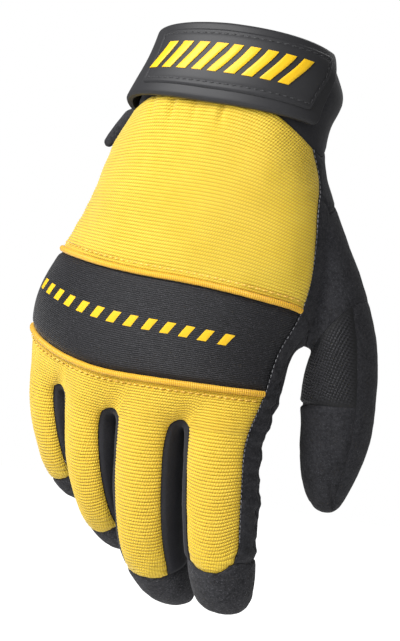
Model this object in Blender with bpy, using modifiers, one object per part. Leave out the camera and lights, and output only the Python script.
"""Right-hand work glove in its worn shape, built from separate sewn panels.

Frame: +Z up along the wrist, fingers down, -Y out of the back of the hand, +X towards the thumb.
The origin is the centre of the wrist opening. Tables are in millimetres and degrees.
"""

import math

import bmesh
import bpy
from mathutils import Vector

MM = 0.001

# Sewn walls and the seams between them
FABRIC_WALL = 1.6
LEATHER_WALL = 1.4
CUFF_WALL = 2.4
SEAM_GAP = 0.35

# The hand opening's outline: a rounded oval that is squarer than an ellipse
OVAL_POWER = 2.35
FINGER_POWER = 2.3

# A subdivided cage draws in on a round form, by more where its points are few
TUBE_GROWTH = 1.0 / 0.905
PALM_GROWTH = 1.012

# Share of the outline that each strip of the cage takes: a side strip, then two per finger with a gap between fingers
SIDE_SHARE = 0.65
FINGER_SHARE = 1.0
GAP_SHARE = 0.55

# Places round a finger, in degrees from the middle of its back
BACK_SEAM_ANGLE = 56.0
SIDE_ANGLE = 97.0
PALM_SEAM_ANGLE = 132.0

# How far the end of each yellow tongue bows past its corners
TONGUE_BOW = 6.5

# Palm sections from the wrist opening down to the lower seam of the knuckle band
SECTION_COLUMNS = ("name", "z", "x", "y", "half_width", "back", "palm", "ulnar_sweep", "radial_sweep",
                   "ulnar_drop", "radial_drop", "drop_power", "wrist_flex")
SECTIONS = (
    ("opening",      0.0,   0.0,   0.0, 31.4, 25.0, 26.0,  0.0, 0.0,   0.0,   0.0, 2.0, 11.0),
    ("cuff_middle", -13.0,  2.6,  -4.0, 35.5, 25.0, 26.5,  0.0, 0.0,   0.0,   0.0, 2.0, 11.5),
    ("cuff_seam",   -25.5, -1.9,  -7.0, 36.3, 24.5, 25.5,  0.5, 0.0,  -6.0, -17.0, 3.0, 12.0),
    ("heel",        -47.0, -2.0, -10.0, 43.4, 23.0, 25.0,  2.0, 1.0,  -3.0,  -8.0, 2.0,  6.0),
    ("mid_hand",    -69.0, -4.0, -11.0, 48.8, 22.0, 23.5,  5.0, 2.0,   1.0,  -5.0, 2.0,  0.0),
    ("upper_seam",  -92.5, -9.5, -11.0, 54.0, 21.0, 22.0,  9.0, 3.0,   6.0,  -7.0, 1.6,  0.0),
    ("knuckles",   -112.0, -19.3, -10.5, 53.5, 20.3, 21.0, 13.0, 3.5, 11.0,  -2.0, 2.0,  0.0),
    ("lower_seam", -131.5, -21.2, -9.0, 54.7, 18.7, 19.3, 16.0, 3.0,  16.0,   1.5, 2.4,  0.0),
)

# Fingers from the little finger to the index finger; tongue is the share of the length that the yellow covers
FINGER_COLUMNS = ("name", "x", "y", "outer_z", "inner_z", "length", "tongue", "width", "depth", "tip_width",
                  "tip_depth", "turn", "curl_turn", "spread", "flex_base", "flex_middle", "flex_tip")
FINGERS = (
    ("little", -63.2,  8.7, -134.0, -139.5, 57.0, 0.66, 21.8, 23.0, 18.0, 18.0, -38.0, -26.0, -2.5, 10.0, 34.0, 72.0),
    ("ring",   -41.5, -2.5, -139.5, -146.0, 69.5, 0.70, 23.6, 25.0, 20.0, 19.0, -24.0, -22.0, -3.5,  8.0, 32.0, 78.0),
    ("middle", -15.3, -9.0, -146.0, -146.5, 82.0, 0.72, 26.4, 26.0, 22.9, 20.0,  -9.0, -16.0, -2.6,  4.0, 22.0, 72.0),
    ("index",   13.6, -9.0, -146.5, -146.5, 73.0, 0.69, 28.6, 26.5, 24.0, 21.0,   0.0,   0.0,  2.8,  5.0, 14.0, 36.0),
)
# Rows of the finger cage: where each lies before the tongue's end or beyond it, and the share of taper reached
FINGER_ROW_COLUMNS = ("before_tongue", "beyond_tongue", "taper")
FINGER_ROWS = (
    (0.27, 0.00, 0.00),
    (0.54, 0.00, 0.15),
    (0.80, 0.00, 0.35),
    (1.00, 0.00, 0.60),
    (1.00, 0.55, 1.05),
    (1.00, 0.91, 2.50),
)
TONGUE_ROW = 3

# Thumb sections from its root to its tip
THUMB_COLUMNS = ("x", "y", "z", "width", "depth", "lean")
THUMB = (
    (50.2,  7.0, -103.5, 28.0, 31.0, 41.0),
    (49.3, 12.0, -117.5, 29.0, 29.5, 18.0),
    (49.2, 16.5, -131.5, 29.2, 27.5,  4.0),
    (48.3, 20.5, -147.0, 27.0, 25.5, -4.0),
    (46.4, 23.0, -161.0, 20.5, 20.0, -2.0),
    (46.8, 24.5, -171.0, 11.0, 11.5,  2.0),
)
THUMB_TIP_LENGTH = 3.0
# How far the web between thumb and palm is drawn down and in, at the three cage columns that it spans
THUMB_WEB_DROPS = (7.0, 14.0, 15.0)
THUMB_WEB_DRAW_IN = 3.0
THUMB_TOP_ROW = 3

# Piping that lies in the two seams of the knuckle band
PIPING_DIAMETER = 2.2
PIPING_SIDES = 6
PIPING_SINK = 0.1
PIPING_END_GAP = 0.4

# Wrist strap: a moulded band round the cuff, from the palm side round the little-finger side to its free end
STRAP_THICKNESS = 2.4
STRAP_CLEARANCE = 0.5
STRAP_TOP = 0.03
STRAP_BOTTOM = 2.18
STRAP_HELD_ANGLE = -150.0
STRAP_FREE_ANGLE_TOP = 84.0
STRAP_FREE_ANGLE_BOTTOM = 69.0
STRAP_SLANT = 0.07
# How much narrower the strap is at the little-finger side, in levels
STRAP_NARROWING = 0.34
STRAP_SEGMENTS = 30
# Rows across the strap: share of its width, and how far a free end's rounded corner draws back, in degrees
STRAP_ROW_COLUMNS = ("share", "corner_angle")
STRAP_ROWS = ((0.0, 5.5), (0.04, 2.0), (0.11, 0.0), (0.3, 0.0), (0.5, 0.0), (0.7, 0.0), (0.89, 0.0), (0.96, 2.0),
              (1.0, 5.5))

# Label plate on the strap's back
LABEL_THICKNESS = 0.9
LABEL_CLEARANCE = 0.3
LABEL_TOP = 0.11
LABEL_BOTTOM = 0.89
LABEL_LEFT_ANGLE = -62.0
LABEL_RIGHT_ANGLE_TOP = 74.0
LABEL_RIGHT_ANGLE_BOTTOM = 60.0
LABEL_SEGMENTS = 18
LABEL_ROWS = ((0.0, 3.0), (0.12, 0.0), (0.37, 0.0), (0.63, 0.0), (0.88, 0.0), (1.0, 3.0))

# The bound edge that stands out below the strap on the little-finger side; reach is a share of the cuff seam's
# half width
BINDING_COLUMNS = ("reach", "y", "z", "across", "deep")
BINDING = (
    (1.104, 1.0, -27.95, 3.2, 1.8),
    (1.190, 1.0, -32.3, 4.8, 2.8),
    (1.282, 1.0, -37.5, 4.8, 3.0),
    (1.369, 1.0, -41.8, 3.6, 3.0),
    (1.426, 1.0, -44.6, 2.2, 2.2),
)
BINDING_SECTION = "cuff_seam"
BINDING_SIDES = 8

SUBDIVISIONS = 1

COLOURS = {
    "yellow_knit": ((0.95, 0.62, 0.03), 0.8),
    "yellow_cord": ((0.90, 0.50, 0.02), 0.6),
    "black_knit": ((0.035, 0.035, 0.040), 0.8),
    "black_leather": ((0.045, 0.045, 0.050), 0.9),
    "mesh_knit": ((0.05, 0.05, 0.055), 0.85),
    "moulded_rubber": ((0.06, 0.06, 0.065), 0.5),
    "neoprene": ((0.02, 0.02, 0.024), 0.85),
}


def rows_of(columns, table):
    """The table's rows as dictionaries, so that each value is read by its column's name."""
    return [dict(zip(columns, row)) for row in table]


SECTION_ROWS = rows_of(SECTION_COLUMNS, SECTIONS)
FINGER_TABLE = rows_of(FINGER_COLUMNS, FINGERS)
FINGER_ROW_TABLE = rows_of(FINGER_ROW_COLUMNS, FINGER_ROWS)
THUMB_TABLE = rows_of(THUMB_COLUMNS, THUMB)
STRAP_TABLE = rows_of(STRAP_ROW_COLUMNS, STRAP_ROWS)
LABEL_TABLE = rows_of(STRAP_ROW_COLUMNS, LABEL_ROWS)
BINDING_TABLE = rows_of(BINDING_COLUMNS, BINDING)


def clear_scene():
    for obj in list(bpy.data.objects):
        bpy.data.objects.remove(obj)


def signed_power(value, power):
    return math.copysign(abs(value) ** power, value)


def oval_point(angle, half_width, depth, power):
    """A point of a squared ellipse; angle 0 is the middle of the back, and positive turns towards the thumb."""
    return (half_width * signed_power(math.sin(angle), 2.0 / power),
            -depth * signed_power(math.cos(angle), 2.0 / power))


def strip_shares():
    """Cumulative shares of the half outline at which the cage's points lie, from one side to the other."""
    finger = [FINGER_SHARE, FINGER_SHARE]
    widths = [SIDE_SHARE] + finger
    for _ in range(len(FINGERS) - 1):
        widths += [GAP_SHARE] + finger
    widths.append(SIDE_SHARE)
    total = sum(widths)
    shares = [0.0]
    for width in widths:
        shares.append(shares[-1] + width / total)
    return shares


def half_outline(half_width, depth, side):
    """Points along half of a section's outline, at the strips' shares of its length; side is -1 for the back."""
    samples = 240
    line = []
    for i in range(samples + 1):
        angle = -math.pi / 2 + math.pi * i / samples
        x, y = oval_point(angle, half_width, depth, OVAL_POWER)
        line.append(Vector((x, y if side < 0 else -y)))
    lengths = [0.0]
    for a, b in zip(line, line[1:]):
        lengths.append(lengths[-1] + (b - a).length)
    points = []
    i = 0
    for share in strip_shares():
        wanted = share * lengths[-1]
        while i < samples - 1 and lengths[i + 1] < wanted:
            i += 1
        t = (wanted - lengths[i]) / (lengths[i + 1] - lengths[i])
        points.append(line[i].lerp(line[i + 1], min(max(t, 0.0), 1.0)))
    return points


def section_ring(row):
    """The 26 cage points of one palm section: the back from little finger to index, then the palm back again."""
    half = row["half_width"] * PALM_GROWTH
    back = half_outline(half, row["back"] * PALM_GROWTH, -1)
    palm = half_outline(half, row["palm"] * PALM_GROWTH, 1)
    outline = back[1:] + palm[-2::-1]
    flex = math.radians(row["wrist_flex"])
    ring = []
    for p in outline:
        u = p.x / half
        reach = abs(u)
        sweep = row["ulnar_sweep"] if u < 0 else row["radial_sweep"]
        drop = row["ulnar_drop"] if u < 0 else row["radial_drop"]
        fade = 1.0 if p.y <= 0 else max(0.0, 1.0 - p.y / row["palm"])
        y = row["y"] + p.y * math.cos(flex) + sweep * reach ** 2
        z = row["z"] - p.y * math.sin(flex) + drop * reach ** row["drop_power"] * fade
        ring.append(Vector((row["x"] + p.x, y, z)))
    return ring


def finger_frame(finger):
    """Directions at the finger's base: sideways, towards the palm, and the plane in which it curls."""
    turn = math.radians(finger["turn"])
    curl = math.radians(finger["curl_turn"])
    side = Vector((math.cos(turn), math.sin(turn), 0.0))
    palmward = Vector((-math.sin(turn), math.cos(turn), 0.0))
    curl_way = Vector((-math.sin(curl), math.cos(curl), 0.0))
    return side, palmward, curl_way


def finger_flex(finger, share):
    """The finger's angle from straight down, in radians, at a share of its length."""
    if share < 0.5:
        start, end, t = finger["flex_base"], finger["flex_middle"], share / 0.5
    else:
        start, end, t = finger["flex_middle"], finger["flex_tip"], share / 0.5 - 1.0
    return math.radians(start + (end - start) * t)


def finger_station(finger, share):
    """Centre of the finger and its curl angle at a share of its length."""
    _, _, curl_way = finger_frame(finger)
    spread = math.radians(finger["spread"])
    down = Vector((math.sin(spread), 0.0, -math.cos(spread)))
    centre = Vector((finger["x"], finger["y"], (finger["outer_z"] + finger["inner_z"]) / 2))
    steps = 40
    for i in range(steps):
        angle = finger_flex(finger, share * (i + 0.5) / steps)
        centre = centre + (down * math.cos(angle) + curl_way * math.sin(angle)) * (finger["length"] * share / steps)
    return centre, finger_flex(finger, share)


RING_ANGLES = (-BACK_SEAM_ANGLE, 0.0, BACK_SEAM_ANGLE, SIDE_ANGLE, PALM_SEAM_ANGLE, 180.0,
               -PALM_SEAM_ANGLE, -SIDE_ANGLE)


def finger_ring(finger, share, taper, bow=0.0):
    """The eight cage points round a finger: left back, back, right back, right, then the palm side to the left."""
    side, palmward, curl_way = finger_frame(finger)
    centre, angle = finger_station(finger, share)
    down = Vector((0.0, 0.0, -1.0))
    along = down * math.cos(angle) + curl_way * math.sin(angle)
    across = (palmward - along * palmward.dot(along)).normalized()
    width = finger["width"] + (finger["tip_width"] - finger["width"]) * taper
    depth = finger["depth"] + (finger["tip_depth"] - finger["depth"]) * taper
    ring = []
    for i, degrees in enumerate(RING_ANGLES):
        x, y = oval_point(math.radians(degrees), width / 2 * TUBE_GROWTH, depth / 2 * TUBE_GROWTH, FINGER_POWER)
        point = centre + side * x + across * y
        if share == 0.0:
            reach = x / (width * TUBE_GROWTH)
            level = finger["outer_z"] + (finger["inner_z"] - finger["outer_z"]) * (reach + 0.5)
            point.z += level - (finger["outer_z"] + finger["inner_z"]) / 2
        if i in (0, 2):
            point -= along * bow / 2
        if i == 1:
            point += along * bow / 2
        ring.append(point)
    return ring


class Cage:
    """The glove's control cage: vertices, quads and the name of the panel that each quad belongs to."""

    def __init__(self):
        self.points = []
        self.quads = []
        self.panels = []

    def add(self, point):
        self.points.append(point)
        return len(self.points) - 1

    def quad(self, corners, panel):
        self.quads.append(corners)
        self.panels.append(panel)

    def ring(self, points):
        return [self.add(p) for p in points]


BACK_POINTS = 3 * len(FINGERS)
RADIAL_SIDE = BACK_POINTS
ULNAR_SIDE = 2 * BACK_POINTS + 1
RING_SIZE = 2 * BACK_POINTS + 2


def palm_point(finger, place):
    """Index in the palm ring of one of a finger's eight ring places, or None where it lies between fingers."""
    if place < 3:
        return 3 * finger + place
    if place == 3:
        return RADIAL_SIDE if finger == len(FINGERS) - 1 else None
    if place == 7:
        return ULNAR_SIDE if finger == 0 else None
    return RADIAL_SIDE + 1 + 3 * (len(FINGERS) - 1 - finger) + (place - 4)


def palm_panel(row, column):
    """The panel that a quad of the palm cage belongs to, by its row and its column in the ring."""
    name = SECTION_ROWS[row]["name"]
    on_back = column < BACK_POINTS - 1 or column == RING_SIZE - 1
    if name in ("opening", "cuff_middle"):
        return "cuff"
    if not on_back:
        if column == BACK_POINTS - 1 and name in ("upper_seam", "knuckles", "lower_seam"):
            return "index_side"
        if column == BACK_POINTS - 1 and name in ("heel", "mid_hand"):
            return "thumb_root"
        return "palm"
    if name in ("cuff_seam", "heel", "mid_hand"):
        return "back_panel"
    if name in ("upper_seam", "knuckles"):
        return "knuckle_band"
    return "finger_backs"


def in_thumb_hole(row, column):
    return THUMB_TOP_ROW <= row < THUMB_TOP_ROW + 2 and RADIAL_SIDE <= column < RADIAL_SIDE + 2


def build_palm(cage):
    """Adds the palm sections and the fingers' base rings, and returns the finger rings' indices."""
    rings = []
    for i, row in enumerate(SECTION_ROWS):
        points = section_ring(row)
        if i == THUMB_TOP_ROW + 2:
            for column, drop in enumerate(THUMB_WEB_DROPS, RADIAL_SIDE):
                points[column] -= Vector((THUMB_WEB_DRAW_IN, 0.0, drop))
        rings.append(cage.ring(points))
    bases = [cage.ring(finger_ring(finger, 0.0, 0.0)) for finger in FINGER_TABLE]
    last = [None] * RING_SIZE
    for finger in range(len(FINGERS)):
        for place in range(8):
            index = palm_point(finger, place)
            if index is not None:
                last[index] = bases[finger][place]
    rings.append(last)
    for row, (upper, lower) in enumerate(zip(rings, rings[1:])):
        for column in range(RING_SIZE):
            if in_thumb_hole(row, column):
                continue
            after = (column + 1) % RING_SIZE
            cage.quad((upper[column], lower[column], lower[after], upper[after]), palm_panel(row, column))
    return rings, bases


def build_webs(cage, bases):
    """The crotch between each two fingers, part of the fourchette that lines them."""
    for finger in range(len(FINGERS) - 1):
        left, right = bases[finger], bases[finger + 1]
        panel = fourchette_name(finger)
        cage.quad((left[2], left[3], right[7], right[0]), panel)
        cage.quad((left[3], left[4], right[6], right[7]), panel)


def fourchette_name(finger):
    return FINGER_TABLE[finger]["name"] + "_" + FINGER_TABLE[finger + 1]["name"] + "_fourchette"


def finger_panel(finger, row, column):
    """The panel of a finger quad: row counts down the finger, column goes round it from the left of its back."""
    name = FINGER_TABLE[finger]["name"]
    if row > TONGUE_ROW:
        return name + "_tip"
    if column in (0, 1):
        return "finger_backs"
    if column in (4, 5):
        return "palm"
    if column in (2, 3):
        if finger < len(FINGERS) - 1:
            return fourchette_name(finger)
        return "index_side" if column == 2 else "palm"
    if finger:
        return fourchette_name(finger - 1)
    return "finger_backs" if column == 7 else "palm"


def close_tip(cage, ring, centre, panel):
    """Four quads that close a tube of eight points."""
    middle = cage.add(centre)
    for start in (0, 2, 4, 6):
        cage.quad((ring[(start - 1) % 8], middle, ring[(start + 1) % 8], ring[start]), panel)


def build_fingers(cage, bases):
    for number, finger in enumerate(FINGER_TABLE):
        previous = bases[number]
        for row, station in enumerate(FINGER_ROW_TABLE):
            bow = TONGUE_BOW if row == TONGUE_ROW else 0.0
            share = finger["tongue"] * station["before_tongue"] + (1.0 - finger["tongue"]) * station["beyond_tongue"]
            ring = cage.ring(finger_ring(finger, share, station["taper"], bow))
            for column in range(8):
                after = (column + 1) % 8
                cage.quad((previous[column], ring[column], ring[after], previous[after]),
                          finger_panel(number, row, column))
            previous = ring
        tip, _ = finger_station(finger, 1.0)
        close_tip(cage, previous, tip, finger["name"] + "_tip")


def thumb_ring(station):
    """Eight cage points round the thumb, starting at the back of its outer side."""
    lean = math.radians(station["lean"])
    outward = Vector((math.cos(lean), 0.0, math.sin(lean)))
    palmward = Vector((0.0, 1.0, 0.0))
    centre = Vector((station["x"], station["y"], station["z"]))
    ring = []
    for i in range(8):
        angle = math.radians(45.0 - 45.0 * i)
        x = math.cos(angle) * station["width"] / 2 * TUBE_GROWTH
        y = -math.sin(angle) * station["depth"] / 2 * TUBE_GROWTH
        ring.append(centre + outward * x + palmward * y)
    return ring


def thumb_panel(row, column):
    """The textured saddle covers the crotch side and the back of the thumb below its root, above the plain back."""
    if row == 0:
        return "thumb_root"
    if column not in (5, 6, 7):
        return "thumb_front"
    return "thumb_saddle" if row < 3 else "thumb_back"


def build_thumb(cage, rings):
    """The thumb's tube, from the hole that the palm cage leaves for it."""
    top, mid, low = (rings[THUMB_TOP_ROW + i] for i in range(3))
    a, b, c = RADIAL_SIDE, RADIAL_SIDE + 1, RADIAL_SIDE + 2
    previous = [top[a], top[b], top[c], mid[c], low[c], low[b], low[a], mid[a]]
    for row, station in enumerate(THUMB_TABLE):
        ring = cage.ring(thumb_ring(station))
        for column in range(8):
            after = (column + 1) % 8
            cage.quad((previous[column], ring[column], ring[after], previous[after]), thumb_panel(row, column))
        previous = ring
    last = THUMB_TABLE[-1]
    lean = math.radians(last["lean"])
    tip = Vector((last["x"] + math.sin(lean) * THUMB_TIP_LENGTH, last["y"], last["z"] - THUMB_TIP_LENGTH))
    close_tip(cage, previous, tip, "thumb_front")


def build_cage():
    cage = Cage()
    rings, bases = build_palm(cage)
    build_webs(cage, bases)
    build_fingers(cage, bases)
    build_thumb(cage, rings)
    return cage


def subdivided_glove(cage):
    """The cage as a smooth surface, whose faces carry their panel's number."""
    names = sorted(set(cage.panels))
    mesh = bpy.data.meshes.new("glove_cage")
    mesh.from_pydata([p * MM for p in cage.points], [], cage.quads)
    mesh.attributes.new("panel", "INT", "FACE").data.foreach_set("value", [names.index(p) for p in cage.panels])
    obj = bpy.data.objects.new("glove_cage", mesh)
    bpy.context.scene.collection.objects.link(obj)
    smooth = obj.modifiers.new("Subdivision", "SUBSURF")
    smooth.levels = smooth.render_levels = SUBDIVISIONS
    graph = bpy.context.evaluated_depsgraph_get()
    surface = bpy.data.meshes.new_from_object(obj.evaluated_get(graph))
    bpy.data.objects.remove(obj)
    return surface, names


def wall_of(panel):
    if panel == "cuff":
        return CUFF_WALL
    if panel in ("back_panel", "knuckle_band", "finger_backs", "thumb_saddle"):
        return FABRIC_WALL
    return LEATHER_WALL


def material_of(panel):
    if panel in ("back_panel", "finger_backs"):
        return "yellow_knit"
    if panel in ("knuckle_band",) or panel.endswith("_fourchette"):
        return "black_knit"
    if panel == "thumb_saddle":
        return "mesh_knit"
    if panel == "cuff":
        return "neoprene"
    return "black_leather"


def material(name):
    found = bpy.data.materials.get(name)
    if found:
        return found
    colour, roughness = COLOURS[name]
    made = bpy.data.materials.new(name)
    made.use_nodes = True
    shader = made.node_tree.nodes["Principled BSDF"]
    shader.inputs["Base Color"].default_value = (*colour, 1.0)
    shader.inputs["Roughness"].default_value = roughness
    return made


def is_piped(panel, neighbour):
    """Whether piping lies in the seam between two panels: both long edges of the knuckle band have it."""
    return "knuckle_band" in (panel, neighbour) and bool({"back_panel", "finger_backs"} & {panel, neighbour})


def seam_inset(panel, neighbour):
    if is_piped(panel, neighbour):
        return PIPING_DIAMETER / 2 + SEAM_GAP
    return SEAM_GAP / 2


def draw_in_edges(bm, panel, names, neighbour_layer):
    """Moves the panel's open edges into the panel, so that it stops short of each seam."""
    limits = {}
    for edge in bm.edges:
        if not edge.is_boundary:
            continue
        face = edge.link_faces[0]
        a, b = edge.verts
        inward = (b.co - a.co).cross(face.normal).normalized()
        if inward.dot(face.calc_center_median() - a.co) < 0:
            inward.negate()
        number = edge[neighbour_layer]
        inset = seam_inset(panel, names[number - 1]) if number else 0.0
        for vert in edge.verts:
            limits.setdefault(vert, []).append((inward, inset * MM))
    for vert, sides in limits.items():
        move = Vector()
        for _ in range(12):
            for inward, inset in sides:
                short = inset - move.dot(inward)
                if short > 0:
                    move += inward * short
        vert.co += move


def panel_object(surface, names, panel, collection):
    """One panel of the glove as a closed solid: its outer skin, the same skin drawn in, and the edges between."""
    bm = bmesh.new()
    bm.from_mesh(surface)
    bm.normal_update()
    tag = bm.faces.layers.int["panel"]
    number = names.index(panel)
    normals = {v.index: v.normal.copy() for v in bm.verts}
    home = bm.verts.layers.int.new("home")
    neighbour_layer = bm.edges.layers.int.new("neighbour")
    for vert in bm.verts:
        vert[home] = vert.index
    for edge in bm.edges:
        tags = [f[tag] for f in edge.link_faces]
        if number in tags and len(tags) == 2:
            edge[neighbour_layer] = (tags[0] if tags[1] == number else tags[1]) + 1
    bmesh.ops.delete(bm, geom=[f for f in bm.faces if f[tag] != number], context="FACES")
    draw_in_edges(bm, panel, names, neighbour_layer)
    wall = wall_of(panel) * MM
    grown = bmesh.ops.extrude_face_region(bm, geom=bm.faces[:], use_keep_orig=True)
    for item in grown["geom"]:
        if isinstance(item, bmesh.types.BMVert):
            item.co -= normals[item[home]] * wall
    bmesh.ops.recalc_face_normals(bm, faces=bm.faces[:])
    return finished_object(bm, panel, material_of(panel), collection)


def finished_object(bm, name, material_name, collection):
    mesh = bpy.data.meshes.new(name)
    bm.to_mesh(mesh)
    bm.free()
    mesh.materials.append(material(material_name))
    mesh.shade_smooth()
    mesh.set_sharp_from_angle(angle=math.radians(50.0))
    obj = bpy.data.objects.new(name, mesh)
    collection.objects.link(obj)
    return obj


def seam_line(surface, names, panel, neighbour):
    """The points and normals along the seam between two panels, from the little-finger side to the thumb side."""
    bm = bmesh.new()
    bm.from_mesh(surface)
    bm.normal_update()
    tag = bm.faces.layers.int["panel"]
    wanted = {names.index(panel), names.index(neighbour)}
    links = {}
    for edge in bm.edges:
        if {f[tag] for f in edge.link_faces} == wanted and len(edge.link_faces) == 2:
            a, b = edge.verts
            links.setdefault(a, []).append(b)
            links.setdefault(b, []).append(a)
    start = min((v for v in links if len(links[v]) == 1), key=lambda v: v.co.x)
    chain = [start]
    while True:
        onward = [v for v in links[chain[-1]] if len(chain) < 2 or v is not chain[-2]]
        if not onward:
            break
        chain.append(onward[0])
    line = [(v.co / MM, v.normal.copy()) for v in chain]
    bm.free()
    return line


def tube(bm, rings):
    """Joins rings of vertices into a closed tube with flat ends."""
    for lower, upper in zip(rings, rings[1:]):
        count = len(lower)
        for i in range(count):
            bm.faces.new((lower[i], lower[(i + 1) % count], upper[(i + 1) % count], upper[i]))
    bm.faces.new(rings[0][::-1])
    bm.faces.new(rings[-1])


def build_piping(surface, names, panel, neighbour, name, collection):
    """A round cord that fills the seam between two panels and stands a little proud of them."""
    line = seam_line(surface, names, panel, neighbour)
    radius = PIPING_DIAMETER / 2
    end_inset = SEAM_GAP / 2 + PIPING_END_GAP
    points = [p for p, _ in line]
    points[0] = points[0] + (points[1] - points[0]).normalized() * end_inset
    points[-1] = points[-1] + (points[-2] - points[-1]).normalized() * end_inset
    bm = bmesh.new()
    rings = []
    for i, point in enumerate(points):
        normal = line[i][1]
        along = (points[min(i + 1, len(points) - 1)] - points[max(i - 1, 0)]).normalized()
        across = along.cross(normal).normalized()
        up = across.cross(along).normalized()
        centre = point - up * PIPING_SINK
        ring = []
        for k in range(PIPING_SIDES):
            angle = 2 * math.pi * (k + 0.5) / PIPING_SIDES
            ring.append(bm.verts.new((centre + (across * math.cos(angle) + up * math.sin(angle)) * radius) * MM))
        rings.append(ring)
    tube(bm, rings)
    bmesh.ops.recalc_face_normals(bm, faces=bm.faces[:])
    return finished_object(bm, name, "yellow_cord", collection)


def section_value(key, level):
    """A section's value between sections, smoothed in the same way as the subdivided cage."""
    values = [row[key] for row in SECTION_ROWS]
    values.insert(0, 2 * values[0] - values[1])
    start = int(level)
    s = level - start
    weights = ((1 - s) ** 3, 3 * s ** 3 - 6 * s ** 2 + 4, -3 * s ** 3 + 3 * s ** 2 + 3 * s + 1, s ** 3)
    return sum(w * v for w, v in zip(weights, values[start:start + 4])) / 6


def cuff_point(degrees, level, offset):
    """A point off the cuff's outer face: level counts the sections down from the opening, degrees go round it."""

    def mixed(key):
        return section_value(key, level)

    def at(angle):
        depth = mixed("back") if math.cos(angle) > 0 else mixed("palm")
        x, y = oval_point(angle, mixed("half_width") * PALM_GROWTH, depth * PALM_GROWTH, OVAL_POWER)
        flex = math.radians(mixed("wrist_flex"))
        return Vector((mixed("x") + x, mixed("y") + y * math.cos(flex), mixed("z") - y * math.sin(flex)))

    angle = math.radians(degrees)
    step = math.radians(1.5)
    along = (at(angle + step) - at(angle - step)).normalized()
    flex = math.radians(mixed("wrist_flex"))
    axis = Vector((0.0, math.sin(flex), math.cos(flex)))
    outward = along.cross(axis).normalized()
    return at(angle) + outward * offset


def strap_shift(angle, share):
    """How far down the strap's rows run at an angle, in levels: it slants on one side and narrows on the other."""
    slant = STRAP_SLANT * max(angle, 0.0) / 90.0
    return slant + STRAP_NARROWING * (0.5 - share) * min(max(-angle, 0.0), 90.0) / 90.0


def band_solid(rows, segments, start, end_top, end_bottom, top, bottom, inner, outer, round_start):
    """A curved plate on the cuff between two angles and two levels, with rounded corners at its free ends."""
    bm = bmesh.new()
    faces = []
    for offset in (inner, outer):
        grid = []
        for row in rows:
            share = row["share"]
            first = start + (row["corner_angle"] if round_start else 0.0)
            last = end_top + (end_bottom - end_top) * share - row["corner_angle"]
            line = []
            for i in range(segments + 1):
                angle = first + (last - first) * i / segments
                level = top + (bottom - top) * share + strap_shift(angle, share)
                line.append(bm.verts.new(cuff_point(angle, level, offset) * MM))
            grid.append(line)
        faces.append(grid)
    low, high = faces
    for grid, flip in ((low, True), (high, False)):
        for a, b in zip(grid, grid[1:]):
            for i in range(segments):
                quad = (a[i], b[i], b[i + 1], a[i + 1])
                bm.faces.new(quad[::-1] if flip else quad)
    for i in range(segments):
        bm.faces.new((low[0][i], high[0][i], high[0][i + 1], low[0][i + 1]))
        bm.faces.new((low[-1][i + 1], high[-1][i + 1], high[-1][i], low[-1][i]))
    for a in range(len(rows) - 1):
        bm.faces.new((low[a][0], low[a + 1][0], high[a + 1][0], high[a][0]))
        bm.faces.new((low[a][-1], high[a][-1], high[a + 1][-1], low[a + 1][-1]))
    bmesh.ops.recalc_face_normals(bm, faces=bm.faces[:])
    return bm


def build_strap(collection):
    inner = STRAP_CLEARANCE
    outer = inner + STRAP_THICKNESS
    bm = band_solid(STRAP_TABLE, STRAP_SEGMENTS, STRAP_HELD_ANGLE, STRAP_FREE_ANGLE_TOP, STRAP_FREE_ANGLE_BOTTOM,
                    STRAP_TOP, STRAP_BOTTOM, inner, outer, False)
    finished_object(bm, "wrist_strap", "moulded_rubber", collection)
    span = STRAP_BOTTOM - STRAP_TOP
    base = outer + LABEL_CLEARANCE
    bm = band_solid(LABEL_TABLE, LABEL_SEGMENTS, LABEL_LEFT_ANGLE, LABEL_RIGHT_ANGLE_TOP, LABEL_RIGHT_ANGLE_BOTTOM,
                    STRAP_TOP + span * LABEL_TOP, STRAP_TOP + span * LABEL_BOTTOM, base, base + LABEL_THICKNESS, True)
    finished_object(bm, "strap_label", "moulded_rubber", collection)


def build_binding(collection):
    """A short rounded bar, flat enough to lie against the side seam."""
    section = next(row for row in SECTION_ROWS if row["name"] == BINDING_SECTION)
    half = section["half_width"] * PALM_GROWTH
    centres = [Vector((section["x"] - row["reach"] * half, row["y"], row["z"])) for row in BINDING_TABLE]
    bm = bmesh.new()
    rings = []
    for i, row in enumerate(BINDING_TABLE):
        along = (centres[min(i + 1, len(centres) - 1)] - centres[max(i - 1, 0)]).normalized()
        deep = Vector((0.0, 1.0, 0.0))
        across = along.cross(deep).normalized()
        centre = centres[i]
        ring = []
        for k in range(BINDING_SIDES):
            angle = 2 * math.pi * (k + 0.5) / BINDING_SIDES
            ring.append(bm.verts.new((centre + across * math.cos(angle) * row["across"] / 2
                                      + deep * math.sin(angle) * row["deep"] / 2) * MM))
        rings.append(ring)
    tube(bm, rings)
    bmesh.ops.recalc_face_normals(bm, faces=bm.faces[:])
    finished_object(bm, "side_binding", "black_leather", collection)


def main():
    clear_scene()
    collection = bpy.data.collections.new("work_glove")
    bpy.context.scene.collection.children.link(collection)
    cage = build_cage()
    surface, names = subdivided_glove(cage)
    for panel in names:
        panel_object(surface, names, panel, collection)
    build_piping(surface, names, "back_panel", "knuckle_band", "upper_piping", collection)
    build_piping(surface, names, "knuckle_band", "finger_backs", "lower_piping", collection)
    bpy.data.meshes.remove(surface)
    build_strap(collection)
    build_binding(collection)


main()
